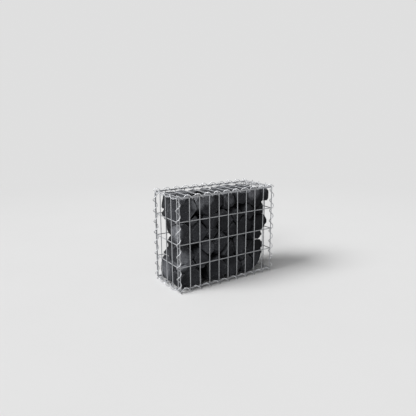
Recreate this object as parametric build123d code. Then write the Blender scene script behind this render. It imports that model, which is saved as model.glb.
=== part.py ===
"""Garden gabion wall unit: a welded-mesh basket, laced with spiral wires and filled with quarry stone."""
from build123d import *
import os
from collections import namedtuple
from math import radians, sqrt, tan

# Basket, measured between the middles of each panel's outermost wires
length = 500
depth = 200
height = 400

# Mesh: uprights stand one bay apart in the outer layer, level wires one row apart behind them
bay = 50
row = 100
mesh_wire = 4
weld_bite = 0.4
wire_sides = 8

# Spirals that lace the panels together, one along every edge of the basket
spiral_wire = 3.5
spiral_play = 0.25
turns_per_row = 2
corner_phase = -78

# Fit between pieces that touch in the real wall
clearance = 0.3

# Stones: the joint between two of them, and the share knocked off each corner
stone_joint = 0.35
knocked_corner = 0.16

# Each stone's middle on the mesh, in tenths of the length from the left and quarters of the height up,
# its girth across the face, how far its middle lies behind the mesh, and the way its face looks:
# degrees turned to the right and tipped up
Stone = namedtuple("Stone", "tenth quarter girth inset turn tip")

front_fill = {
    "course_4_front_left": [
        Stone(0.75, 3.45, 44, 75, -5, 4),
        Stone(3.35, 3.75, 72, 50, 2, 9),
    ],
    "course_4_front_middle": [
        Stone(5.50, 3.62, 48, 45, 8, 8),
        Stone(6.65, 3.72, 50, 35, 6, -6),
    ],
    "course_4_front_right": [
        Stone(8.45, 3.62, 56, 50, 6, 8),
        Stone(9.75, 3.70, 34, 60, 12, 3),
    ],
    "course_3_front_left": [
        Stone(0.60, 2.45, 46, 35, -8, 3),
        Stone(2.00, 2.38, 44, 45, -3, 4),
        Stone(3.50, 2.93, 44, 40, 4, 3),
        Stone(1.45, 2.88, 16, 50, -4, -5),
    ],
    "course_3_front_middle": [
        Stone(4.88, 2.80, 46, 35, -3, 4),
        Stone(6.20, 2.95, 37, 45, 5, 5),
        Stone(5.60, 2.25, 34, 50, 6, -6),
        Stone(6.90, 2.35, 40, 40, -4, 3),
    ],
    "course_3_front_right": [
        Stone(7.75, 2.98, 40, 45, 3, 6),
        Stone(8.90, 2.35, 44, 50, 10, -4),
        Stone(8.90, 3.00, 32, 60, 9, -3),
    ],
    "course_2_front_left": [
        Stone(0.65, 1.45, 50, 28, -14, 2),
        Stone(2.30, 1.20, 38, 45, 3, 3),
        Stone(3.05, 1.68, 40, 35, 2, 8),
        Stone(3.60, 2.20, 25, 55, 6, -8),
    ],
    "course_2_front_middle": [
        Stone(4.45, 1.70, 44, 45, -3, -5),
        Stone(5.35, 1.35, 34, 50, 5, 5),
        Stone(6.70, 1.40, 44, 40, 4, 8),
    ],
    "course_2_front_right": [
        Stone(8.30, 1.22, 42, 45, 8, 4),
        Stone(8.40, 1.80, 34, 60, 9, -5),
    ],
    "course_1_front_left": [
        Stone(1.15, 0.95, 34, 40, -6, -4),
        Stone(1.35, 0.35, 46, 45, -3, 4),
        Stone(4.00, 0.50, 50, 40, -4, -4),
    ],
    "course_1_front_middle": [
        Stone(5.90, 0.50, 48, 40, 4, 5),
        Stone(6.90, 0.85, 26, 50, 6, 6),
    ],
    "course_1_front_right": [
        Stone(7.60, 0.45, 40, 45, 9, -3),
        Stone(8.60, 0.60, 32, 55, 9, 4),
    ],
}

# Groups that the back has in place of the front's, where it fills a hollow of the front or has one itself
back_own = {
    "course_4_front_right": [
        Stone(8.20, 3.62, 50, 50, 6, 8),
        Stone(9.40, 3.68, 40, 60, 12, 3),
    ],
    "course_1_front_right": [
        Stone(7.60, 0.45, 40, 45, 9, -3),
        Stone(8.60, 0.60, 32, 55, 9, 4),
        Stone(9.60, 0.40, 46, 50, -4, 3),
    ],
}

# Hollows that no stone fills: dark pockets that both faces share, and those at one end of each
pockets = [
    Stone(2.45, 3.10, 10, 35, 0, 0),
    Stone(1.55, 1.78, 16, 35, 0, 0),
    Stone(3.50, 1.12, 4, 35, 0, 0),
    Stone(2.75, 0.45, 20, 40, 0, 0),
    Stone(6.45, 3.30, 40, 35, 0, 0),
    Stone(5.55, 3.15, 33, 35, 0, 0),
    Stone(8.55, 2.66, 36, 35, 0, 0),
    Stone(7.48, 1.50, 12, 35, 0, 0),
    Stone(6.80, 0.33, 14, 35, 0, 0),
    Stone(5.28, 1.76, 8, 35, 0, 0),
    Stone(4.85, 0.75, 6, 35, 0, 0),
]
front_hollows = [
    Stone(9.60, 0.35, 44, 45, 0, 0),
    Stone(9.85, 3.05, 34, 45, 0, 0),
    Stone(10.4, 1.62, 34, 45, 0, 0),
    Stone(11.6, 2.35, 64, 45, 0, 0),
]
back_hollows = [
    Stone(10.4, 2.85, 34, 45, 0, 0),
    Stone(10.5, 2.15, 78, 45, 0, 0),
    Stone(11.0, 3.85, 87, 60, 0, 0),
]

# Where the mesh planes lie: each panel stands back from the corner until its edge wire clears the next
layer = mesh_wire - weld_bite
setback = layer + (mesh_wire + clearance) / sqrt(2)
wire_tail = setback - layer - mesh_wire / 2 - clearance
end_x = length / 2 + setback
face_y = depth / 2 + setback

# A coil is wide enough for the two upright edge wires of a corner
half_lap = setback / sqrt(2)
spiral_radius = half_lap + spiral_play + mesh_wire / 2 + clearance + spiral_wire / 2
spiral_outer = spiral_radius + spiral_wire / 2
reach = half_lap + spiral_play


def coil_axis(first_layer, second_layer):
    """Finds how far in from the two mesh planes a coil runs, when it rests on the edge wires of both."""
    first = Vector(first_layer, setback)
    second = Vector(setback, second_layer)
    apart = second - first
    outward = Vector(apart.Y, -apart.X).normalized()
    sag = sqrt(reach**2 - (apart.length / 2) ** 2)
    return (first + second) * 0.5 + outward * sag


# Long edges lace two inner-layer wires, end edges an inner and an outer one, upright corners two outer ones
long_axis = coil_axis(layer, layer)
end_axis = coil_axis(layer, 0)
corner_axis = coil_axis(0, 0)

# The lower coils stand on the ground, and carry the base
base_z = spiral_outer - min(long_axis.Y, end_axis.Y)
low_z = base_z + setback
high_z = low_z + height
lid_z = high_z + setback
mid_z = low_z + height / 2

bays_long = max(1, round(length / bay))
bays_deep = max(1, round(depth / bay))
rows_high = max(1, round(height / row))
rows_deep = max(1, round(depth / row))


def straight_wire(start, direction, run):
    """Makes one few-sided wire, with its flats square to the mesh."""
    section = RegularPolygon(mesh_wire / 2, wire_sides, major_radius=False, rotation=180 / wire_sides)
    return extrude(Plane(origin=start, z_dir=direction) * section, amount=run)


def mesh_panel(face, wide, tall, bays, rows):
    """Welds a panel: outer wires along the face's Y, inner wires along its X, sunk together by the weld."""
    wires = []
    for i in range(bays + 1):
        x = wide * (i / bays - 0.5)
        wires.append(straight_wire((x, -tall / 2 - wire_tail, 0), (0, 1, 0), tall + 2 * wire_tail))
    for j in range(rows + 1):
        y = tall * (j / rows - 0.5)
        wires.append(straight_wire((-wide / 2 - wire_tail, y, -layer), (1, 0, 0), wide + 2 * wire_tail))
    return face * wires[0].fuse(*wires[1:])


def spiral(start, along, run, side, pitch, phase_at, phase):
    """Winds one right-handed coil about an axis; it stands at the phase from its side at phase_at."""
    turn = phase - 360 * phase_at / pitch
    first = Vector(side).rotate(Axis((0, 0, 0), along), turn)
    coil = Plane(origin=start, x_dir=first, z_dir=along) * Edge.make_helix(pitch, run, spiral_radius)
    section = Plane(origin=coil.position_at(0), z_dir=coil.tangent_at(0)) * Circle(spiral_wire / 2)
    return sweep(section, path=coil, is_frenet=True)


front_face = Plane(origin=(0, -face_y, mid_z), x_dir=(1, 0, 0), z_dir=(0, -1, 0))
back_face = Plane(origin=(0, face_y, mid_z), x_dir=(-1, 0, 0), z_dir=(0, 1, 0))
left_face = Plane(origin=(-end_x, 0, mid_z), x_dir=(0, -1, 0), z_dir=(-1, 0, 0))
right_face = Plane(origin=(end_x, 0, mid_z), x_dir=(0, 1, 0), z_dir=(1, 0, 0))
base_face = Plane(origin=(0, 0, base_z), x_dir=(1, 0, 0), z_dir=(0, 0, -1))
lid_face = Plane(origin=(0, 0, lid_z), x_dir=(1, 0, 0), z_dir=(0, 0, 1))

panels = {
    "front_panel": mesh_panel(front_face, length, height, bays_long, rows_high),
    "back_panel": mesh_panel(back_face, length, height, bays_long, rows_high),
    "left_panel": mesh_panel(left_face, depth, height, bays_deep, rows_high),
    "right_panel": mesh_panel(right_face, depth, height, bays_deep, rows_high),
    "base_panel": mesh_panel(base_face, length, depth, bays_long, rows_deep),
    "lid_panel": mesh_panel(lid_face, length, depth, bays_long, rows_deep),
}

# The coils along the length run from end to end; the others stop clear of them at both ends
coil_stop = spiral_outer + spiral_wire / 2 + clearance
end_run = 2 * (face_y - long_axis.X - coil_stop)
corner_low = base_z + long_axis.Y + coil_stop
corner_run = lid_z - long_axis.Y - coil_stop - corner_low
corner_pitch = height / rows_high / turns_per_row

spirals = {}
coil_lines = []
for level, up, plane_z in (("bottom", -1, base_z), ("top", 1, lid_z)):
    for name, out in (("front", -1), ("back", 1)):
        centre = Vector(0, out * (face_y - long_axis.X), plane_z - up * long_axis.Y)
        side = Vector(0, out, up).normalized()
        coil_lines.append((centre, side))
        spirals[f"spiral_{level}_{name}"] = spiral(
            centre - Vector(end_x, 0, 0), (1, 0, 0), 2 * end_x, side, length / bays_long, setback, 0
        )
    for name, out in (("left", -1), ("right", 1)):
        centre = Vector(out * (end_x - end_axis.X), 0, plane_z - up * end_axis.Y)
        side = Vector(out, 0, up).normalized()
        coil_lines.append((centre, side))
        spirals[f"spiral_{level}_{name}"] = spiral(
            centre - Vector(0, end_run / 2, 0), (0, 1, 0), end_run, side, depth / bays_deep, end_run / 2, 0
        )
for front_name, out_y in (("front", -1), ("back", 1)):
    for name, out_x in (("left", -1), ("right", 1)):
        centre = Vector(out_x * (end_x - corner_axis.X), out_y * (face_y - corner_axis.Y), corner_low)
        side = Vector(out_x, out_y, 0).normalized()
        coil_lines.append((centre, side))
        spirals[f"spiral_{front_name}_{name}"] = spiral(
            centre, (0, 0, 1), corner_run, side, corner_pitch, low_z - corner_low, corner_phase
        )


def trim(stone, point, outward):
    """Cuts a stone flat through a point, and keeps the side that the outward direction leaves."""
    if all((corner - point).dot(outward) <= 0 for corner in corners(stone)):
        return stone
    return stone.split(Plane(origin=point, z_dir=outward), keep=Keep.BOTTOM)


def corners(stone):
    """Lists the places of a stone's corners."""
    return [corner.center() for corner in stone.vertices()]


# The room for stones: inside the level wires, and clear of the coils along its edges
inside = layer + mesh_wire / 2 + clearance
room_x = end_x - inside
room_y = face_y - inside
room_low = base_z + inside
room_high = lid_z - inside
room = Pos(-room_x, -room_y, room_low) * Solid.make_box(2 * room_x, 2 * room_y, room_high - room_low)
for centre, side in coil_lines:
    room = trim(room, centre - side * (spiral_outer + clearance), side)


def seat(stone, facing=-1):
    """Finds where a stone's middle lies, behind the front mesh or, turned half round, the back one."""
    return Vector(
        -facing * length * (stone.tenth / 10 - 0.5),
        facing * (depth / 2 - stone.inset),
        low_z + height * stone.quarter / 4,
    )


def cell(stone, neighbours):
    """Cuts the stone's own share of the room, joint by joint, against every neighbour near enough."""
    middle = seat(stone)
    pull = stone.girth**2 + stone.inset**2
    cut = room
    far = max((corner - middle).length for corner in corners(cut))
    for other, place in sorted(neighbours, key=lambda pair: (pair[1] - middle).length):
        apart = place - middle
        share = (apart.length + (pull - other.girth**2 - other.inset**2) / apart.length) / 2
        if share < far:
            way = apart.normalized()
            cut = trim(cut, middle + way * (share - stone_joint / 2), way)
            far = max((corner - middle).length for corner in corners(cut))
    return cut


def split_face(stone, cut, side, across, up, at):
    """Splits off the flat that the room left on one side, with a face that leans the stone's own way."""
    on_flat = [corner for corner in corners(cut) if abs(corner.dot(side) - at) < clearance]
    if not on_flat:
        return cut
    look = (side + across * tan(radians(stone.turn)) + up * tan(radians(stone.tip))).normalized()
    return trim(cut, min(on_flat, key=lambda corner: corner.dot(look)), look)


def quarry_stone(stone, neighbours):
    """Shapes one stone: its cell, split faces towards the mesh, ends and lid, and knocked corners."""
    right, back, up = Vector(1, 0, 0), Vector(0, 1, 0), Vector(0, 0, 1)
    cut = cell(stone, neighbours)
    cut = split_face(stone, cut, -back, right, up, room_y)
    cut = split_face(stone, cut, -right, back, up, room_x)
    cut = split_face(stone, cut, right, back, up, room_x)
    cut = split_face(stone, cut, up, right, back, room_high)
    middle = cut.center()
    for x in (-1, 1):
        for y in (-1, 1):
            for z in (-1, 1):
                way = Vector(x, y, z).normalized()
                far = max((corner - middle).dot(way) for corner in corners(cut))
                cut = trim(cut, middle + way * far * (1 - knocked_corner), way)
    return cut


def back_name(name):
    """Names the group that lies where this one comes to when the wall is turned round."""
    course, place = name.split("_front_")
    return course + "_back_" + {"left": "right", "middle": "middle", "right": "left"}[place]


# The back is filled as the front is, turned half round, but for its own groups and hollows
back_fill = {**front_fill, **back_own}
front_seats = [stone for group in front_fill.values() for stone in group] + pockets + front_hollows
back_seats = [stone for group in back_fill.values() for stone in group] + pockets + back_hollows


def pack(groups, own_seats, other_seats):
    """Shapes the stones of one side, as if it were the front, round those of the other side."""
    around = [(stone, seat(stone)) for stone in own_seats]
    around += [(stone, seat(stone, 1)) for stone in other_seats]
    return {
        name: [quarry_stone(stone, [pair for pair in around if pair[1] != seat(stone)]) for stone in group]
        for name, group in groups.items()
    }


fill = {}
for name, shaped in pack(front_fill, front_seats, back_seats).items():
    fill[name] = Compound(children=shaped)
for name, shaped in pack(back_fill, back_seats, front_seats).items():
    fill[back_name(name)] = Compound(children=[Rot(0, 0, 180) * stone for stone in shaped])

os.makedirs("parts", exist_ok=True)
for name, shape in {**panels, **spirals, **fill}.items():
    export_step(shape, f"parts/{name}.step")
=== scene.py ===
"""Dresses a garden gabion: welded mesh panels, lacing spirals and broken basalt, in a plain studio."""

import logging
import math
import random
from dataclasses import dataclass
from enum import Enum
from typing import Any, Iterable, Optional, Union

import bmesh
import bpy
from mathutils import Matrix, Quaternion, Vector, noise


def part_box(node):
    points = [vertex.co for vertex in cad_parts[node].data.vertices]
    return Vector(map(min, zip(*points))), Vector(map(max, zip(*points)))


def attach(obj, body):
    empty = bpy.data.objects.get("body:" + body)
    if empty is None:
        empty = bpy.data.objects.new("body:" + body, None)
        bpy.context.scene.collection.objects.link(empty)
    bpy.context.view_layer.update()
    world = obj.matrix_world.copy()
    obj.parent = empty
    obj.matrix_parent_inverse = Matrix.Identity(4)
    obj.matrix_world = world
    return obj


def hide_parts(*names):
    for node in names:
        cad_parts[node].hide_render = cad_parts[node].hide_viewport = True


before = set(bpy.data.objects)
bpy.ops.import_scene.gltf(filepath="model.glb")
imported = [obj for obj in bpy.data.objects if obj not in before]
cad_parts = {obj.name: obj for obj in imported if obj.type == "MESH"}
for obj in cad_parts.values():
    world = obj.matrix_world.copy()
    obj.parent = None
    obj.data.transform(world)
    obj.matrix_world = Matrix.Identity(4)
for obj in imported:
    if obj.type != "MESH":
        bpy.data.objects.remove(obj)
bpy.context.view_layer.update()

log = logging.getLogger("gabion")

Colour = tuple[float, float, float]
Place = tuple[float, float, float]
Span = tuple[float, float]
Value = Union[float, "Strand"]

X, Y, Z = Vector((1, 0, 0)), Vector((0, 1, 0)), Vector((0, 0, 1))


class Slot(Enum):
    """The record's material slots."""

    MESH = "mesh_zinc"
    COIL = "spiral_zinc"
    STONE = "stone"


class Side(Enum):
    """The basket's sides: the way each panel faces, and the way its level wires run."""

    FRONT = (-Y, X)
    BACK = (Y, -X)
    LEFT = (-X, -Y)
    RIGHT = (X, Y)
    BASE = (-Z, X)
    LID = (Z, X)

    @property
    def outward(self) -> Vector:
        """The way out of the basket."""
        return self.value[0]

    @property
    def across(self) -> Vector:
        """The way that the inner layer of wires runs."""
        return self.value[1]

    @property
    def along(self) -> Vector:
        """The way that the outer layer of wires runs."""
        return self.outward.cross(self.across)


# Shader sums


@dataclass(frozen=True)
class Ease:
    """A smooth change from a start to an end, between a low and a high limit of the value it follows."""

    low: float
    high: float
    start: float = 0.0
    end: float = 1.0


@dataclass(frozen=True)
class Lumps:
    """Fractal noise: its largest lumps' width in metres, and how many and strong the finer ones are."""

    size: float
    detail: float
    roughness: float


class Strand:
    """A value in a material. A sum written on it in Python adds its Math node."""

    def __init__(self, board: "Board", socket: bpy.types.NodeSocket) -> None:
        """Keeps the output socket that holds the value.

        Args:
            board: the material that the value is in.
            socket: the output socket.
        """
        self.board = board
        self.socket = socket

    def __add__(self, other: Value) -> "Strand":
        """Adds."""
        return self.board.sum("ADD", self, other)

    def __radd__(self, other: float) -> "Strand":
        """Adds to a number."""
        return self.board.sum("ADD", other, self)

    def __sub__(self, other: Value) -> "Strand":
        """Takes away."""
        return self.board.sum("SUBTRACT", self, other)

    def __rsub__(self, other: float) -> "Strand":
        """Takes the value from a number."""
        return self.board.sum("SUBTRACT", other, self)

    def __mul__(self, other: Value) -> "Strand":
        """Multiplies."""
        return self.board.sum("MULTIPLY", self, other)

    def __rmul__(self, other: float) -> "Strand":
        """Multiplies a number."""
        return self.board.sum("MULTIPLY", other, self)

    def clamped(self) -> "Strand":
        """Keeps the value between nought and one."""
        return self.board.node("ShaderNodeClamp", {}, {"Value": self})["Result"]

    def eased(self, ease: Ease) -> "Strand":
        """Follows the value with a smooth change.

        Args:
            ease: the change.

        Returns:
            The changed value.
        """
        inputs = {
            "Value": self,
            "From Min": ease.low,
            "From Max": ease.high,
            "To Min": ease.start,
            "To Max": ease.end,
        }
        return self.board.node("ShaderNodeMapRange", {"interpolation_type": "SMOOTHSTEP"}, inputs)["Result"]


class Fitting:
    """One node of a material, whose outputs are read by name as strands."""

    def __init__(self, board: "Board", node: bpy.types.Node) -> None:
        """Keeps the node.

        Args:
            board: the material that the node is in.
            node: the node.
        """
        self.board = board
        self.node = node

    def __getitem__(self, key: str) -> Strand:
        """Gives one output as a strand."""
        return Strand(self.board, find_socket(self.node.outputs, key))


def find_socket(sockets: Iterable[bpy.types.NodeSocket], key: Union[int, str]) -> bpy.types.NodeSocket:
    """Finds a socket by its place, identifier or name.

    Args:
        sockets: a node's inputs or outputs.
        key: the place, identifier or name.

    Returns:
        The socket.
    """
    if isinstance(key, int):
        return list(sockets)[key]
    return next(s for s in sockets if key in (s.identifier, s.name))


class Board:
    """The node tree of one material or of the surround."""

    def __init__(self, tree: bpy.types.NodeTree) -> None:
        """Clears the tree.

        Args:
            tree: the node tree to build in.
        """
        self.tree = tree
        self.tree.nodes.clear()

    def node(
        self,
        kind: str,
        settings: Optional[dict[str, Any]] = None,
        inputs: Optional[dict[Union[int, str], Any]] = None,
    ) -> Fitting:
        """Adds a node.

        Args:
            kind: the node's type.
            settings: its properties.
            inputs: values or strands for its input sockets.

        Returns:
            The node.
        """
        node = self.tree.nodes.new(kind)
        for name, value in (settings or {}).items():
            setattr(node, name, value)
        for key, value in (inputs or {}).items():
            socket = find_socket(node.inputs, key)
            if isinstance(value, Strand):
                self.tree.links.new(value.socket, socket)
            else:
                socket.default_value = value
        return Fitting(self, node)

    def sum(self, operation: str, *values: Value) -> Strand:
        """Adds a Math node.

        Args:
            operation: the node's operation.
            values: its inputs, in order.

        Returns:
            The node's value.
        """
        return self.node("ShaderNodeMath", {"operation": operation}, dict(enumerate(values)))["Value"]

    def mix(self, share: Value, first: Any, second: Any) -> Strand:
        """Mixes two colours.

        Args:
            share: how much of the second colour.
            first: a colour or strand.
            second: a colour or strand.

        Returns:
            The mixed colour.
        """
        colours = [c if isinstance(c, Strand) else (*c, 1.0) for c in (first, second)]
        inputs = {"Factor_Float": share, "A_Color": colours[0], "B_Color": colours[1]}
        return self.node("ShaderNodeMix", {"data_type": "RGBA"}, inputs)["Result_Color"]

    def noise(self, place: Strand, lumps: Lumps) -> Strand:
        """Makes fractal noise.

        Args:
            place: the coordinates to read.
            lumps: the noise.

        Returns:
            The noise, from 0 to 1.
        """
        inputs = {
            "Vector": place,
            "Scale": 1 / lumps.size,
            "Detail": lumps.detail,
            "Roughness": lumps.roughness,
        }
        return self.node("ShaderNodeTexNoise", {}, inputs)["Fac"]

    def cells(self, place: Strand, size: float) -> Fitting:
        """Makes cells, each with its own colour.

        Args:
            place: the coordinates to read.
            size: the width of a cell, in metres.

        Returns:
            The node, whose Distance grows from each cell's middle and whose Color differs by cell.
        """
        return self.node("ShaderNodeTexVoronoi", {"feature": "F1"}, {"Vector": place, "Scale": 1 / size})

    def attribute(self, name: str) -> Strand:
        """Reads a number stored on the mesh."""
        return self.node("ShaderNodeAttribute", {"attribute_name": name})["Fac"]

    def coordinates(self, kind: str = "Object") -> Strand:
        """Reads the object's own coordinates, or its normal."""
        return self.node("ShaderNodeTexCoord")[kind]

    def split(self, vector: Strand) -> Fitting:
        """Splits a vector or colour into its X, Y and Z."""
        return self.node("ShaderNodeSeparateXYZ", {}, {"Vector": vector})

    def bump(self, height: Strand, depth: float, strength: float = 1.0) -> Strand:
        """Turns a height into relief.

        Args:
            height: the height, about 0 to 1.
            depth: how deep the relief is, in metres.
            strength: how strongly it shows.

        Returns:
            The normal.
        """
        inputs = {"Strength": strength, "Distance": depth, "Height": height}
        return self.node("ShaderNodeBump", {}, inputs)["Normal"]

    def surface(self, inputs: dict[str, Any]) -> None:
        """Ends the material in a Principled surface.

        Args:
            inputs: values or strands for the shader's sockets.
        """
        shader = self.node("ShaderNodeBsdfPrincipled", {}, inputs)
        self.node("ShaderNodeOutputMaterial", {}, {"Surface": shader["BSDF"]})


def start_material(name: str) -> tuple[bpy.types.Material, Board]:
    """Starts a material.

    Args:
        name: its name.

    Returns:
        The material and its empty board.
    """
    material = bpy.data.materials.new(name)
    material.use_nodes = True
    return material, Board(material.node_tree)


def scaled(colour: Colour, share: float) -> Colour:
    """Scales a colour."""
    return tuple(c * share for c in colour)


# Finishes


@dataclass(frozen=True)
class RockLayers:
    """The patterns that lie over each other on a broken face of basalt."""

    tone: Strand
    hackle: Strand
    cloud: Strand
    grain: Strand
    powder: Strand
    flecks: Strand
    pits: Strand


@dataclass(frozen=True)
class Basalt:
    """Broken basalt: near black where it is fresh, greyed by stone dust along worn arrises, paler on top
    and in patches with dust and painted light, and darker deep in the fill and in patches with painted
    shade.
    """

    name: str = "basalt"
    fresh: Colour = (0.0110, 0.0117, 0.0140)
    greyer: Colour = (0.041, 0.043, 0.049)
    # Pale colour of stone dust, and of painted light on tops and in patches.
    dust_and_painted_light: Colour = (0.215, 0.222, 0.240)
    fleck: Colour = (0.150, 0.152, 0.160)
    black_share: float = 0.4
    # How strongly the painted shade darkens the stone towards near black.
    shade_darkening: float = 0.80
    refraction: float = 1.52
    gloss: float = 0.10
    roughness: float = 0.60
    dust_roughness: float = 0.22
    grain_roughness: float = 0.12

    bedding_axis: Place = (0.5, 0.3, 0.8)
    bedding_stretch: Place = (1.0, 1.0, 5.0)
    hackle: Lumps = Lumps(0.020, 4.0, 0.6)
    cloud: Lumps = Lumps(0.045, 4.0, 0.55)
    grain: Lumps = Lumps(0.0028, 3.0, 0.6)
    powder: Lumps = Lumps(0.011, 5.0, 0.65)
    crystal_size: float = 0.0030
    crystal_chance: Ease = Ease(0.86, 0.90)
    crystal_rim: Ease = Ease(0.20, 0.42, 1.0, 0.0)
    pore_size: float = 0.0042
    pore_chance: Ease = Ease(0.55, 0.60)
    pore_rim: Ease = Ease(0.12, 0.34, 1.0, 0.0)

    cloud_ease: Ease = Ease(0.32, 0.68)
    hackle_ease: Ease = Ease(0.35, 0.65)
    grain_ease: Ease = Ease(0.45, 0.80, 0.0, 0.30)
    cloud_grey: float = 0.35
    hackle_grey: float = 0.30
    tone_grey: float = 0.60
    fresh_share: float = 0.10
    fleck_share: float = 0.55

    # Upward faces are paler with dust and painted top light; worn arrises and stray spots with dust.
    upward: Ease = Ease(0.10, 0.95)
    upward_powder: Ease = Ease(0.25, 0.70, 0.35, 1.0)
    arris: Ease = Ease(0.12, 0.75)
    arris_powder: Ease = Ease(0.36, 0.62, 0.15, 1.0)
    patch_powder: Ease = Ease(0.30, 0.62, 0.45, 1.0)
    stray_powder: Ease = Ease(0.52, 0.80)
    upward_dust_and_light: float = 0.45
    arris_dust: float = 0.62
    patch_dust_and_light: float = 0.90
    stray_dust: float = 0.10
    pit_shelter: float = 0.8
    pit_shade: float = 0.7

    cloud_height: float = 0.5
    hackle_height: float = 0.55
    powder_height: float = 0.40
    grain_height: float = 0.16
    pit_depth: float = 0.25
    relief: float = 0.0060

    def layers(self, board: Board) -> RockLayers:
        """Lays the patterns out.

        Args:
            board: the material.

        Returns:
            The patterns. The hackle lies along the stone's own bedding, which differs with its tone.
        """
        place = board.coordinates()
        tone = board.attribute("tone")
        turned = {"Vector": place, "Axis": self.bedding_axis, "Angle": tone * 2 * math.pi}
        bedding = board.node("ShaderNodeVectorRotate", {"rotation_type": "AXIS_ANGLE"}, turned)["Vector"]
        stretch = {"Vector": bedding, "Scale": self.bedding_stretch}
        crystals = board.cells(place, self.crystal_size)
        pores = board.cells(place, self.pore_size)
        chance = board.split(crystals["Color"])["X"].eased(self.crystal_chance)
        rarer = board.split(pores["Color"])["Y"].eased(self.pore_chance)
        return RockLayers(
            tone=tone,
            hackle=board.noise(board.node("ShaderNodeMapping", {}, stretch)["Vector"], self.hackle),
            cloud=board.noise(place, self.cloud),
            grain=board.noise(place, self.grain),
            powder=board.noise(place, self.powder),
            flecks=chance * crystals["Distance"].eased(self.crystal_rim),
            pits=rarer * pores["Distance"].eased(self.pore_rim),
        )

    def rock(self, board: Board, layers: RockLayers) -> Strand:
        """Colours the clean stone.

        Args:
            board: the material.
            layers: its patterns.

        Returns:
            The colour.
        """
        clouded = layers.cloud.eased(self.cloud_ease) * self.cloud_grey
        hackled = layers.hackle.eased(self.hackle_ease) * self.hackle_grey
        shade = clouded + hackled + layers.tone * self.tone_grey - self.fresh_share
        rock = board.mix(shade.clamped(), self.fresh, self.greyer)
        rock = board.mix(layers.grain.eased(self.grain_ease), rock, self.fleck)
        return board.mix(layers.flecks * self.fleck_share, rock, self.fleck)

    def dust_and_light_share(self, board: Board, layers: RockLayers) -> Strand:
        """Finds where the stone is paler: dust and painted top light on upward faces, dust on worn arrises,
        dust and painted light in the patches, and dust here and there.

        Args:
            board: the material.
            layers: its patterns.

        Returns:
            How much dust and painted light there is, from 0 to 1.
        """
        powder = layers.powder
        up = board.split(board.coordinates("Normal"))["Z"]
        settled_and_lit = up.eased(self.upward) * powder.eased(self.upward_powder)
        bruised = board.attribute("wear").eased(self.arris) * powder.eased(self.arris_powder)
        # Dust and painted light in the patches.
        uneven = (powder * 0.5 + layers.hackle * 0.5).eased(self.patch_powder)
        caked_and_lit = board.attribute("dusted_and_lit") * uneven
        stray = powder.eased(self.stray_powder)
        worn = settled_and_lit * self.upward_dust_and_light + bruised * self.arris_dust
        return (worn + caked_and_lit * self.patch_dust_and_light + stray * self.stray_dust).clamped()

    def normal(self, board: Board, layers: RockLayers) -> Strand:
        """Gives the broken face its relief.

        Args:
            board: the material.
            layers: its patterns.

        Returns:
            The normal.
        """
        height = layers.cloud * self.cloud_height + layers.hackle * self.hackle_height
        height = height + layers.powder * self.powder_height + layers.grain * self.grain_height
        return board.bump(height - layers.pits * self.pit_depth, self.relief)

    def make(self) -> bpy.types.Material:
        """Builds the material.

        Returns:
            The finished material.
        """
        material, board = start_material(self.name)
        layers = self.layers(board)
        dusty_and_lit = self.dust_and_light_share(board, layers)
        # Near black, for the painted shade in pits and deep in the fill.
        black = scaled(self.fresh, self.black_share)
        # Dust pales the rock; on tops and in the patches this is dust and painted light.
        skin = board.mix(dusty_and_lit * (1 - layers.pits * self.pit_shelter), self.rock(board, layers), self.dust_and_painted_light)
        skin = board.mix(layers.pits * self.pit_shade, skin, black)
        # Painted shade: darker deep inside the fill and in the shade patches.
        skin = board.mix(board.attribute("sunk") * self.shade_darkening, skin, black)
        matt = dusty_and_lit * self.dust_roughness + layers.grain * self.grain_roughness + self.roughness
        board.surface(
            {
                "Base Color": skin,
                "Roughness": matt.clamped(),
                "IOR": self.refraction,
                "Specular IOR Level": self.gloss,
                "Normal": self.normal(board, layers),
            }
        )
        return material


@dataclass(frozen=True)
class Zinc:
    """Hot-dip zinc on steel wire: pale spangle, dull oxide bloom and grey, lumpy welds."""

    name: str
    bright: Colour
    dull: Colour
    bloom: float

    spangle_size: float = 0.0045
    spangle_shade: float = 0.78
    spangle_share: float = 0.45
    patches: Lumps = Lumps(0.028, 4.0, 0.6)
    speckle: Lumps = Lumps(0.0016, 3.0, 0.6)
    runs: Lumps = Lumps(0.0060, 2.0, 0.5)
    patch_ease: Ease = Ease(0.42, 0.66)
    speckle_ease: Ease = Ease(0.55, 0.80)
    speckle_oxide: float = 0.20
    weld_oxide: float = 0.55
    scorch_ease: Ease = Ease(0.40, 0.70)
    scorch_shade: float = 0.45
    scorch_share: float = 0.6

    metal: float = 0.80
    oxide_metal: float = 0.38
    roughness: float = 0.48
    spangle_roughness: float = 0.08
    oxide_roughness: float = 0.20
    run_height: float = 0.6
    speckle_height: float = 0.25
    weld_height: float = 0.6
    relief: float = 0.00035
    relief_strength: float = 0.6

    def make(self) -> bpy.types.Material:
        """Builds the material.

        Returns:
            The finished material.
        """
        material, board = start_material(self.name)
        place = board.coordinates()
        weld = board.attribute("weld")
        spangle = board.split(board.cells(place, self.spangle_size)["Color"])["X"]
        speckle = board.noise(place, self.speckle)
        bloom = board.noise(place, self.patches).eased(self.patch_ease) * self.bloom
        specks = speckle.eased(self.speckle_ease) * self.speckle_oxide
        oxide = (bloom + weld * self.weld_oxide + specks).clamped()
        scorch = weld * speckle.eased(self.scorch_ease) * self.scorch_share
        shaded = scaled(self.bright, self.spangle_shade)
        skin = board.mix(spangle * self.spangle_share, self.bright, shaded)
        skin = board.mix(oxide, skin, self.dull)
        skin = board.mix(scorch, skin, scaled(self.dull, self.scorch_shade))
        lumpy = speckle * (self.speckle_height + weld * self.weld_height)
        height = board.noise(place, self.runs) * self.run_height + lumpy
        matt = self.roughness + spangle * self.spangle_roughness + oxide * self.oxide_roughness
        board.surface(
            {
                "Base Color": skin,
                "Metallic": (self.metal - oxide * self.oxide_metal).clamped(),
                "Roughness": matt.clamped(),
                "Normal": board.bump(height, self.relief, self.relief_strength),
            }
        )
        return material


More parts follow.
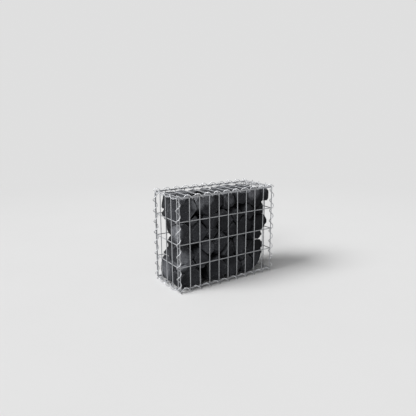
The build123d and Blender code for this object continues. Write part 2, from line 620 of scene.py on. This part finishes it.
@dataclass(frozen=True)
class PaleFloor:
    """A plain pale floor that takes the shadow and fades into the surround."""

    name: str = "pale_floor"
    colour: Colour = (0.74, 0.74, 0.74)
    surround: Colour = (0.74, 0.74, 0.74)
    roughness: float = 0.9
    mottle: Lumps = Lumps(0.35, 3.0, 0.5)
    mottle_shade: float = 0.97
    fade: Ease = Ease(0.9, 3.2)

    def make(self) -> bpy.types.Material:
        """Builds the material.

        Returns:
            The finished material.
        """
        material, board = start_material(self.name)
        place = board.coordinates()
        far = board.node("ShaderNodeVectorMath", {"operation": "LENGTH"}, {"Vector": place})["Value"]
        darker = scaled(self.colour, self.mottle_shade)
        paint = board.mix(board.noise(place, self.mottle), self.colour, darker)
        lit = board.node("ShaderNodeBsdfPrincipled", {}, {"Base Color": paint, "Roughness": self.roughness})
        glow = board.node("ShaderNodeEmission", {}, {"Color": (*self.surround, 1.0), "Strength": 1.0})
        blend = {0: far.eased(self.fade), 1: lit["BSDF"], 2: glow["Emission"]}
        surface = board.node("ShaderNodeMixShader", {}, blend)
        board.node("ShaderNodeOutputMaterial", {}, {"Surface": surface["Shader"]})
        return material


# Meshes


def finish_piece(
    name: str, shape: bmesh.types.BMesh, material: bpy.types.Material, nodes: Iterable[str]
) -> bpy.types.Object:
    """Turns a finished shape into a piece that rides on the basket and stands for its nodes.

    Args:
        name: the piece's name.
        shape: its mesh, in place; it is freed.
        material: its finish.
        nodes: the nodes that it stands for.

    Returns:
        The piece.
    """
    mesh = bpy.data.meshes.new(name)
    shape.to_mesh(mesh)
    shape.free()
    mesh.materials.append(material)
    piece = bpy.data.objects.new(name, mesh)
    bpy.context.scene.collection.objects.link(piece)
    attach(piece, "root")
    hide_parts(*nodes)
    return piece


def store(piece: bpy.types.Object, name: str, values: list[float]) -> None:
    """Stores a number on each vertex of a piece.

    Args:
        piece: the piece.
        name: the attribute's name.
        values: a number for each vertex, in order.
    """
    piece.data.attributes.new(name, "FLOAT", "POINT").data.foreach_set("value", values)


def smooth(shape: bmesh.types.BMesh) -> None:
    """Shades every face of a mesh smooth."""
    for face in shape.faces:
        face.smooth = True


def round_rims(
    shape: bmesh.types.BMesh, rims: list[bmesh.types.BMEdge], wire: float, share: float = 0.12
) -> None:
    """Rounds the cut ends of a wire.

    Args:
        shape: the mesh.
        rims: the edges round the ends.
        wire: the wire's width.
        share: the width of the rounding, as a share of the wire's.
    """
    bmesh.ops.bevel(
        shape,
        geom=rims,
        offset=wire * share,
        segments=2,
        profile=0.5,
        affect="EDGES",
        material=-1,
        clamp_overlap=True,
    )


def pour(shape: bmesh.types.BMesh, part: bmesh.types.BMesh) -> None:
    """Adds one mesh to another.

    Args:
        shape: the mesh that grows.
        part: the mesh that is added; it is freed.
    """
    carrier = bpy.data.meshes.new("carrier")
    part.to_mesh(carrier)
    part.free()
    shape.from_mesh(carrier)
    bpy.data.meshes.remove(carrier)


@dataclass
class Panel:
    """One welded panel: an outer layer of wires over an inner one, with a weld at each crossing.

    The bead's shares give its half sizes across, along and out, against the wire's width.
    """

    node: str
    side: Side
    bays: int
    rows: int
    finish: bpy.types.Material
    wire: float = 0.004
    tail: float = 0.00074
    facets: int = 12
    ring: float = 0.008
    bead: Place = (0.62, 0.62, 0.40)
    bead_facets: int = 8
    bead_rings: int = 6
    weld_reach: float = 0.0055

    def __post_init__(self) -> None:
        """Reads the middles of the outermost wires off the node."""
        low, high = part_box(self.node)
        half = (high - low) / 2
        self.middle = (low + high) / 2
        self.wide = 2 * abs(half.dot(self.side.across)) - self.wire
        self.tall = 2 * abs(half.dot(self.side.along)) - self.wire
        self.lift = abs(half.dot(self.side.outward)) - self.wire / 2

    def at(self, x: float, y: float, out: float) -> Vector:
        """Gives a place on the panel.

        Args:
            x: how far across from its middle.
            y: how far along from its middle.
            out: how far out from between its layers.

        Returns:
            The place.
        """
        return self.middle + self.side.across * x + self.side.along * y + self.side.outward * out

    def lines(self, span: float, count: int) -> list[float]:
        """Spaces wires evenly.

        Args:
            span: the distance between the outermost wires.
            count: how many bays lie between them.

        Returns:
            The place of each wire.
        """
        return [span * (i / count - 0.5) for i in range(count + 1)]

    def lay_wire(self, shape: bmesh.types.BMesh, start: Vector, end: Vector) -> None:
        """Lays one straight wire with rounded ends.

        Args:
            shape: the mesh to add it to.
            start: the middle of one end.
            end: the middle of the other.
        """
        run = end - start
        length = run.length
        turn = run.to_track_quat("Z", "Y").to_matrix().to_4x4()
        wire = bmesh.new()
        bmesh.ops.create_cone(
            wire,
            cap_ends=True,
            segments=self.facets,
            radius1=self.wire / 2,
            radius2=self.wire / 2,
            depth=length,
            matrix=Matrix.Translation((start + end) / 2) @ turn,
        )
        round_rims(wire, [e for e in wire.edges if e.calc_length() < length / 2], self.wire)
        sides = [e for e in wire.edges if e.calc_length() > length / 2]
        bmesh.ops.subdivide_edges(wire, edges=sides, cuts=int(length / self.ring), use_grid_fill=True)
        pour(shape, wire)

    def weld(self, shape: bmesh.types.BMesh, place: Vector) -> None:
        """Squeezes a bead of metal out between two crossing wires.

        Args:
            shape: the mesh to add it to.
            place: where the wires cross, between the layers.
        """
        size = Matrix.Diagonal((*(self.wire * share for share in self.bead), 1.0))
        turn = self.side.outward.to_track_quat("Z", "Y").to_matrix().to_4x4()
        bmesh.ops.create_uvsphere(
            shape,
            u_segments=self.bead_facets,
            v_segments=self.bead_rings,
            radius=1.0,
            matrix=Matrix.Translation(place) @ turn @ size,
        )

    def heat(self, place: Vector, uprights: list[float], levels: list[float]) -> float:
        """Measures how near a place is to a weld.

        Args:
            place: a place on a wire.
            uprights: where the outer wires lie across the panel.
            levels: where the inner wires lie along it.

        Returns:
            One at a weld, falling to nought at the reach of its mark.
        """
        from_middle = place - self.middle
        x, y = from_middle.dot(self.side.across), from_middle.dot(self.side.along)
        away = math.hypot(min(abs(x - u) for u in uprights), min(abs(y - v) for v in levels))
        return max(0.0, 1 - away / self.weld_reach)

    def build(self) -> bpy.types.Object:
        """Builds and dresses the panel.

        Returns:
            The piece.
        """
        shape = bmesh.new()
        uprights, levels = self.lines(self.wide, self.bays), self.lines(self.tall, self.rows)
        reach_y, reach_x = self.tall / 2 + self.tail, self.wide / 2 + self.tail
        for x in uprights:
            self.lay_wire(shape, self.at(x, -reach_y, self.lift), self.at(x, reach_y, self.lift))
        for y in levels:
            self.lay_wire(shape, self.at(-reach_x, y, -self.lift), self.at(reach_x, y, -self.lift))
        beads = bmesh.new()
        for x in uprights:
            for y in levels:
                self.weld(beads, self.at(x, y, 0))
        pour(shape, beads)
        smooth(shape)
        welds = [self.heat(v.co, uprights, levels) for v in shape.verts]
        piece = finish_piece(f"{self.node}_wires", shape, self.finish, [self.node])
        store(piece, "weld", welds)
        return piece


@dataclass
class Coil:
    """One spiral wire, wound right-handed about an edge of the basket.

    It stands at the phase, in degrees from its side, where it passes phase_from along its axis.
    """

    node: str
    along: Vector
    side: Vector
    pitch: float
    phase_from: float
    phase: float
    finish: bpy.types.Material
    wire: float = 0.0035
    facets: int = 12
    steps_per_turn: int = 28

    def __post_init__(self) -> None:
        """Reads the axis, radius and run off the node."""
        low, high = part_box(self.node)
        middle, half = (low + high) / 2, (high - low) / 2
        across = half - self.along * half.dot(self.along)
        self.radius = max(across) - self.wire / 2
        round_once = 2 * math.pi * self.radius
        lean = round_once / math.hypot(round_once, self.pitch)
        self.run = 2 * abs(half.dot(self.along)) - self.wire * lean
        self.start = middle - self.along * self.run / 2

    def first_section(self) -> Matrix:
        """Finds where the wire starts.

        Returns:
            The place and turn of its first section, with Z along the wire.
        """
        phase_at = self.phase_from - self.start.dot(self.along)
        turn = math.radians(self.phase) - 2 * math.pi * phase_at / self.pitch
        out = Quaternion(self.along, turn) @ self.side
        circling = self.along.cross(out)
        tangent = (circling * (2 * math.pi * self.radius) + self.along * self.pitch).normalized()
        place = Matrix((out, tangent.cross(out), tangent)).transposed().to_4x4()
        place.translation = self.start + out * self.radius
        return place

    def build(self) -> bpy.types.Object:
        """Winds and dresses the spiral.

        Returns:
            The piece.
        """
        shape = bmesh.new()
        bmesh.ops.create_circle(
            shape, cap_ends=True, segments=self.facets, radius=self.wire / 2, matrix=self.first_section()
        )
        turns = self.run / self.pitch
        steps = round(turns * self.steps_per_turn)
        bmesh.ops.spin(
            shape,
            geom=shape.verts[:] + shape.edges[:] + shape.faces[:],
            cent=self.start,
            axis=self.along,
            dvec=self.along * (self.run / steps),
            angle=2 * math.pi * turns,
            steps=steps,
        )
        open_rim = [e for e in shape.edges if e.is_boundary]
        bmesh.ops.holes_fill(shape, edges=open_rim, sides=0)
        bmesh.ops.recalc_face_normals(shape, faces=shape.faces)
        rims = [e for e in shape.edges if any(len(f.verts) > 4 for f in e.link_faces)]
        round_rims(shape, rims, self.wire)
        smooth(shape)
        unwelded = [0.0] * len(shape.verts)
        piece = finish_piece(f"{self.node}_coil", shape, self.finish, [self.node])
        store(piece, "weld", unwelded)
        return piece


@dataclass(frozen=True)
class Patch:
    """A place on the fill that is paler with dust and painted light, or else darker with painted shade,
    against the rest.
    """

    place: Place
    reach: float
    amount: float
    edge: float = 2.6

    def share(self, at: Vector) -> float:
        """Measures how far a place belongs to the patch.

        Args:
            at: the place.

        Returns:
            The patch's amount near its middle, falling to nought at its reach.
        """
        nearness = 1 - (at - Vector(self.place)).length / self.reach
        return self.amount * min(1.0, max(0.0, self.edge * nearness))

    def turned(self) -> "Patch":
        """Gives the same patch turned half round the basket's upright middle."""
        x, y, z = self.place
        return Patch((-x, -y, z), self.reach, self.amount, self.edge)


def covered(patches: list[Patch], at: Vector) -> float:
    """Measures how much patches cover a place together, up to one."""
    return min(1.0, sum(p.share(at) for p in patches))


@dataclass(frozen=True)
class Swell:
    """A fractal unevenness of the stones' flats, in metres."""

    depth: float
    size: float
    smoothness: float
    octaves: int
    spacing: float = 2.0

    def at(self, place: Vector, shift: Vector) -> float:
        """Gives the hollow's depth at a place.

        Args:
            place: the place on the stone.
            shift: the stone's own shift, which makes it unlike the others.

        Returns:
            The depth.
        """
        lump = noise.fractal(place / self.size + shift, self.smoothness, self.spacing, self.octaves)
        return self.depth * (0.5 + 0.5 * lump)


@dataclass(frozen=True)
class Chips:
    """Small facets over the stones' flats, each tilted its own way, in metres."""

    depth: float = 0.0026
    size: float = 0.016
    tilt: float = 1.6
    scatter: float = 97.0

    def at(self, place: Vector, shift: Vector) -> float:
        """Gives the chip's depth at a place.

        Args:
            place: the place on the stone.
            shift: the stone's own shift, which makes it unlike the others.

        Returns:
            The depth.
        """
        spot = place / self.size + shift
        middle = noise.voronoi(spot)[1][0]
        slope = noise.cell_vector(middle * self.scatter) - Vector((0.5, 0.5, 0.5))
        return self.depth * (0.5 + min(0.5, max(-0.5, (spot - middle).dot(slope) * self.tilt)))


@dataclass
class Stones:
    """The stones of one course that share a node, worked up from their solids with bruised faces."""

    node: str
    finish: bpy.types.Material
    draw: random.Random
    fill: tuple[Vector, Vector]
    dust_and_painted_light: list[Patch]
    # Patches of painted shade.
    shade_patches: list[Patch]
    weld_distance: float = 0.00001
    flat_angle: float = math.radians(1.0)
    sharp_angle: float = math.radians(30.0)

    flakes: int = 18
    flake_place: Span = (0.2, 0.8)
    flake_depth: Span = (0.0004, 0.0028)
    flake_lean: float = 0.10
    smallest_flat: float = 0.0004

    divisions: int = 6
    shortest_edge: float = 0.0003
    outer_edge: float = 0.0034
    inner_edge: float = 0.0130
    graded: Span = (0.022, 0.050)

    # Depths inside the fill over which the painted shade grows.
    shade_depths: Span = (0.007, 0.032)
    arris_wear: float = 0.7
    near_wear: float = 0.6
    softening: float = 0.25
    furthest_shift: float = 50.0
    swell: Swell = Swell(0.0012, 0.040, 1.0, 3)
    chips: Chips = Chips()
    grit: Swell = Swell(0.00060, 0.0075, 0.8, 2)

    def solids(self) -> list[bmesh.types.BMesh]:
        """Copies the node's solids, one by one.

        Returns:
            A closed mesh for each stone, with one face for each flat.
        """
        merged = bmesh.new()
        merged.from_mesh(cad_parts[self.node].data)
        bmesh.ops.remove_doubles(merged, verts=merged.verts, dist=self.weld_distance)
        bmesh.ops.dissolve_limit(
            merged, angle_limit=self.flat_angle, verts=merged.verts, edges=merged.edges
        )
        merged.verts.index_update()
        stones, seen = [], set()
        for first in merged.verts:
            if first.index in seen:
                continue
            group, reached = {first.index}, [first]
            while reached:
                for edge in reached.pop().link_edges:
                    for vert in edge.verts:
                        if vert.index not in group:
                            group.add(vert.index)
                            reached.append(vert)
            seen |= group
            stone = merged.copy()
            others = [v for v in stone.verts if v.index not in group]
            bmesh.ops.delete(stone, geom=others, context="VERTS")
            stones.append(stone)
        merged.free()
        return stones

    def flake(self, stone: bmesh.types.BMesh) -> None:
        """Knocks one flake off an arris or a corner.

        Args:
            stone: the stone, a closed solid without hollows.
        """
        stone.normal_update()
        stone.edges.ensure_lookup_table()
        edge = stone.edges[self.draw.randrange(len(stone.edges))]
        share = self.draw.uniform(*self.flake_place)
        place = edge.verts[0].co.lerp(edge.verts[1].co, share)
        lean = Vector([self.draw.uniform(-self.flake_lean, self.flake_lean) for _ in range(3)])
        out = (edge.link_faces[0].normal + edge.link_faces[1].normal).normalized() + lean
        out.normalize()
        place = place - out * self.draw.uniform(*self.flake_depth)
        cut = bmesh.ops.bisect_plane(
            stone,
            geom=stone.verts[:] + stone.edges[:] + stone.faces[:],
            dist=self.weld_distance,
            plane_co=place,
            plane_no=out,
            clear_outer=True,
        )
        rim = [e for e in cut["geom_cut"] if isinstance(e, bmesh.types.BMEdge) and e.is_boundary]
        bmesh.ops.contextual_create(stone, geom=rim)

    def sink(self, place: Vector, between: Span) -> float:
        """Measures how far inside the fill a place lies.

        Args:
            place: a place on a stone.
            between: the depth up to which it counts as outside, and that from which it is well inside.

        Returns:
            The measure, from nought outside to one well inside.
        """
        low, high = self.fill
        start, end = between
        depth = min(*(place - low), *(high - place))
        return min(1.0, max(0.0, (depth - start) / (end - start)))

    def painted_shade_at(self, place: Vector) -> float:
        """Gives how much painted shade darkens a place: deep in the fill, or in a shade patch."""
        return max(self.sink(place, self.shade_depths), covered(self.shade_patches, place))

    def longest_edge(self, place: Vector) -> float:
        """Gives the longest edge that a place may have: short outside, longer where the fill hides it."""
        return self.outer_edge + self.sink(place, self.graded) * (self.inner_edge - self.outer_edge)

    def refine(self, stone: bmesh.types.BMesh) -> None:
        """Divides the stone's flats into small even triangles, with no folds or needles among them.

        Args:
            stone: the stone.
        """
        bmesh.ops.triangulate(stone, faces=stone.faces, quad_method="BEAUTY", ngon_method="BEAUTY")
        for _ in range(self.divisions):
            long = []
            for edge in stone.edges:
                first, second = (v.co for v in edge.verts)
                if (first - second).length > self.longest_edge((first + second) / 2):
                    long.append(edge)
            bmesh.ops.subdivide_edges(stone, edges=long, cuts=1)
            bmesh.ops.triangulate(stone, faces=[f for f in stone.faces if len(f.verts) > 3])
            flat = [e for e in stone.edges if e.calc_face_angle(math.pi) < self.flat_angle]
            bmesh.ops.beautify_fill(stone, faces=stone.faces, edges=flat, method="AREA")
            while folded := [v for v in stone.verts if len(v.link_edges) < 3]:
                bmesh.ops.delete(stone, geom=folded, context="VERTS")
            bmesh.ops.dissolve_degenerate(stone, dist=self.shortest_edge, edges=stone.edges)

    def bruise(self, stone: bmesh.types.BMesh) -> list[float]:
        """Rates how exposed each vertex is to knocks, from the arrises it lies on.

        Args:
            stone: the stone, divided but not yet roughened.

        Returns:
            A rating for each vertex, from nought on a flat to one on a sharp arris.
        """
        stone.verts.index_update()
        sharp = [max(e.calc_face_angle(0.0) for e in v.link_edges) for v in stone.verts]
        ratings = []
        for vert in stone.verts:
            near = [sharp[e.other_vert(vert).index] for e in vert.link_edges]
            rating = self.arris_wear * sharp[vert.index] + self.near_wear * sum(near) / len(near)
            ratings.append(min(1.0, rating))
        return ratings

    def roughen(self, stone: bmesh.types.BMesh) -> None:
        """Breaks the flats up with swells, small tilted chips and grit, always inwards.

        Args:
            stone: the stone.
        """
        reach = self.furthest_shift
        shift = Vector([self.draw.uniform(-reach, reach) for _ in range(3)])
        stone.normal_update()
        for vert in stone.verts:
            depth = sum(layer.at(vert.co, shift) for layer in (self.swell, self.chips, self.grit))
            vert.co -= vert.normal * max(0.0, depth)

    def build(self) -> bpy.types.Object:
        """Works up and dresses the stones.

        Returns:
            The piece.
        """
        heap = bmesh.new()
        marks: dict[str, list[float]] = {"tone": [], "wear": [], "dusted_and_lit": [], "sunk": []}
        for stone in self.solids():
            for _ in range(self.flakes):
                self.flake(stone)
            bmesh.ops.dissolve_degenerate(stone, dist=self.smallest_flat, edges=stone.edges)
            self.refine(stone)
            bmesh.ops.recalc_face_normals(stone, faces=stone.faces)
            marks["wear"] += self.bruise(stone)
            marks["tone"] += [self.draw.random()] * len(stone.verts)
            # Patches of dust and painted light.
            marks["dusted_and_lit"] += [covered(self.dust_and_painted_light, v.co) for v in stone.verts]
            # Painted shade, from depth in the fill and from the shade patches.
            marks["sunk"] += [self.painted_shade_at(v.co) for v in stone.verts]
            bmesh.ops.smooth_vert(
                stone,
                verts=stone.verts,
                factor=self.softening,
                use_axis_x=True,
                use_axis_y=True,
                use_axis_z=True,
            )
            self.roughen(stone)
            pour(heap, stone)
        smooth(heap)
        for edge in heap.edges:
            edge.smooth = edge.calc_face_angle(0.0) < self.sharp_angle
        piece = finish_piece(f"{self.node}_stones", heap, self.finish, [self.node])
        for name, values in marks.items():
            store(piece, name, values)
        return piece


@dataclass(frozen=True)
class Fill:
    """The basket's stones, course by course, with patches of dust and painted light and patches of painted
    shade on them.
    """

    finish: Basalt = Basalt()
    seed: int = 31
    # Patches paled with dust and painted light.
    dust_and_painted_light: tuple[Patch, ...] = (
        Patch((-0.264, -0.070, 0.262), 0.050, 1.00),
        Patch((-0.240, -0.092, 0.140), 0.054, 1.00),
        Patch((-0.150, -0.092, 0.386), 0.040, 1.00),
        Patch((-0.095, -0.092, 0.402), 0.036, 0.95),
        Patch((0.160, -0.090, 0.402), 0.044, 1.00),
        Patch((0.022, -0.096, 0.388), 0.034, 0.50),
        Patch((-0.178, -0.096, 0.325), 0.032, 0.30),
        Patch((-0.095, -0.096, 0.178), 0.036, 0.25),
        Patch((-0.240, 0.050, 0.350), 0.060, 0.55),
        Patch((-0.245, 0.040, 0.070), 0.050, 0.55),
    )
    # Patches where the stones are darkened with painted shade.
    shade_patches: tuple[Patch, ...] = (
        Patch((0.220, -0.100, 0.310), 0.110, 1.00),
        Patch((0.190, -0.100, 0.190), 0.100, 1.00),
        Patch((-0.250, -0.095, 0.040), 0.070, 0.70),
        Patch((-0.030, -0.100, 0.270), 0.050, 0.70),
        Patch((0.090, -0.100, 0.250), 0.060, 0.60),
        Patch((0.030, -0.100, 0.110), 0.050, 0.60),
        Patch((-0.080, -0.100, 0.090), 0.045, 0.60),
    )

    def courses(self) -> list[Stones]:
        """Lists the stones of every node.

        Returns:
            The stones, with the patches laid on the front and, turned half round, on the back.
        """
        nodes = sorted(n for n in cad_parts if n.startswith("course_"))
        boxes = [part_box(n) for n in nodes]
        low = Vector([min(b[0][i] for b in boxes) for i in range(3)])
        high = Vector([max(b[1][i] for b in boxes) for i in range(3)])
        dust_and_painted_light, shade_patches = ([*patches, *(p.turned() for p in patches)] for patches in (self.dust_and_painted_light, self.shade_patches))
        basalt = self.finish.make()
        draw = random.Random(self.seed)
        return [Stones(node, basalt, draw, (low, high), dust_and_painted_light, shade_patches) for node in nodes]


@dataclass
class Basket:
    """The welded basket and the spirals that lace it."""

    panel_finish: Zinc = Zinc("panel_zinc", (0.46, 0.47, 0.49), (0.33, 0.336, 0.345), 0.65)
    coil_finish: Zinc = Zinc("coil_zinc", (0.58, 0.59, 0.61), (0.44, 0.445, 0.455), 0.50)
    bays_long: int = 10
    bays_deep: int = 4
    rows_high: int = 4
    rows_deep: int = 2
    turns_per_row: int = 2
    corner_phase: float = -78.0

    def __post_init__(self) -> None:
        """Makes the two finishes and sets out the panels."""
        zinc = self.panel_finish.make()
        long, deep, high = self.bays_long, self.bays_deep, self.rows_high
        self.coil_zinc = self.coil_finish.make()
        self.front = Panel("front_panel", Side.FRONT, long, high, zinc)
        self.left = Panel("left_panel", Side.LEFT, deep, high, zinc)
        self.panels = [
            self.front,
            Panel("back_panel", Side.BACK, long, high, zinc),
            self.left,
            Panel("right_panel", Side.RIGHT, deep, high, zinc),
            Panel("base_panel", Side.BASE, long, self.rows_deep, zinc),
            Panel("lid_panel", Side.LID, long, self.rows_deep, zinc),
        ]

    def coils(self) -> list[Coil]:
        """Lists the twelve spirals, each set out from where a panel's wire crosses it.

        Returns:
            The spirals: along the basket, across its ends and up its corners.
        """
        front, left = self.front, self.left
        first_x = front.middle.x - front.wide / 2
        low_z = front.middle.z - front.tall / 2
        zinc = self.coil_zinc
        coils = []
        for level, up in (("bottom", -1), ("top", 1)):
            for name, out in (("front", -1), ("back", 1)):
                side = Vector((0, out, up)).normalized()
                pitch = front.wide / self.bays_long
                coils.append(Coil(f"spiral_{level}_{name}", X, side, pitch, first_x, 0.0, zinc))
            for name, out in (("left", -1), ("right", 1)):
                side = Vector((out, 0, up)).normalized()
                pitch = left.wide / self.bays_deep
                coils.append(Coil(f"spiral_{level}_{name}", Y, side, pitch, left.middle.y, 0.0, zinc))
        for face, out_y in (("front", -1), ("back", 1)):
            for name, out_x in (("left", -1), ("right", 1)):
                side = Vector((out_x, out_y, 0)).normalized()
                pitch = front.tall / self.rows_high / self.turns_per_row
                coils.append(Coil(f"spiral_{face}_{name}", Z, side, pitch, low_z, self.corner_phase, zinc))
        return coils


# The studio


@dataclass(frozen=True)
class SoftLight:
    """A broad even light from far off, with its spread in degrees."""

    name: str
    comes_from: Place
    spread: float
    strength: float

    def hang(self) -> None:
        """Adds the light."""
        data = bpy.data.lights.new(self.name, "SUN")
        data.angle = math.radians(self.spread)
        data.energy = self.strength
        lamp = bpy.data.objects.new(self.name, data)
        bpy.context.scene.collection.objects.link(lamp)
        lamp.rotation_euler = Vector(self.comes_from).to_track_quat("Z", "Y").to_euler()


@dataclass(frozen=True)
class Viewpoint:
    """The camera: where it stands, its heading, tilt and roll in degrees, and its lens."""

    place: Place = (-1.07843, -1.59689, 0.76515)
    heading: float = 33.071
    tilt: float = -12.795
    roll: float = -0.240
    lens_in_pixels: float = 425.39
    picture_width: int = 416
    sensor: float = 36.0
    furthest: float = 60.0

    def set_up(self) -> None:
        """Adds the camera and makes it the scene's."""
        data = bpy.data.cameras.new("viewpoint")
        data.sensor_fit = "HORIZONTAL"
        data.sensor_width = self.sensor
        data.lens = self.lens_in_pixels / self.picture_width * self.sensor
        data.clip_end = self.furthest
        camera = bpy.data.objects.new("viewpoint", data)
        bpy.context.scene.collection.objects.link(camera)
        level = Matrix.Rotation(-math.radians(self.heading), 4, "Z") @ Matrix.Rotation(math.pi / 2, 4, "X")
        leaned = level @ Matrix.Rotation(math.radians(self.tilt), 4, "X")
        placed = Matrix.Translation(self.place) @ leaned
        camera.matrix_world = placed @ Matrix.Rotation(math.radians(self.roll), 4, "Z")
        bpy.context.scene.camera = camera


@dataclass(frozen=True)
class Studio:
    """A plain pale floor, soft lamps and an even surround."""

    floor: PaleFloor = PaleFloor()
    floor_radius: float = 14.0
    floor_facets: int = 96
    ambient: float = 0.20
    lights: tuple[SoftLight, ...] = (
        SoftLight("key", (-0.80, 0.16, 0.80), 30.0, 3.1),
        SoftLight("fill", (-0.95, -0.62, 0.80), 24.0, 0.85),
    )

    def lay_floor(self) -> None:
        """Lays the floor under the basket."""
        shape = bmesh.new()
        bmesh.ops.create_circle(shape, cap_ends=True, segments=self.floor_facets, radius=self.floor_radius)
        mesh = bpy.data.meshes.new("studio_floor")
        shape.to_mesh(mesh)
        shape.free()
        mesh.materials.append(self.floor.make())
        piece = bpy.data.objects.new("studio_floor", mesh)
        bpy.context.scene.collection.objects.link(piece)

    def light_surround(self) -> None:
        """Lights the room evenly, and shows the floor's pale colour behind the basket and in the zinc."""
        world = bpy.data.worlds.new("surround")
        bpy.context.scene.world = world
        world.use_nodes = True
        board = Board(world.node_tree)
        ray = board.node("ShaderNodeLightPath")
        seen = (ray["Is Camera Ray"] + ray["Is Glossy Ray"] + ray["Is Transmission Ray"]).clamped()
        even = (self.ambient, self.ambient, self.ambient)
        colour = board.mix(seen, even, self.floor.surround)
        glow = board.node("ShaderNodeBackground", {}, {"Color": colour, "Strength": 1.0})
        board.node("ShaderNodeOutputWorld", {}, {"Surface": glow["Background"]})

    def set_up(self) -> None:
        """Builds the whole studio."""
        self.lay_floor()
        self.light_surround()
        for light in self.lights:
            light.hang()
        bpy.context.scene.view_settings.view_transform = "Standard"


def main() -> None:
    """Builds the studio, the basket and its fill."""
    logging.basicConfig(level=logging.INFO, format="%(name)s: %(message)s")
    Viewpoint().set_up()
    Studio().set_up()
    basket = Basket()
    for part in [*basket.panels, *basket.coils(), *Fill().courses()]:
        piece = part.build()
        log.info("%s: %d faces", piece.name, len(piece.data.polygons))


if __name__ == "__main__":
    main()
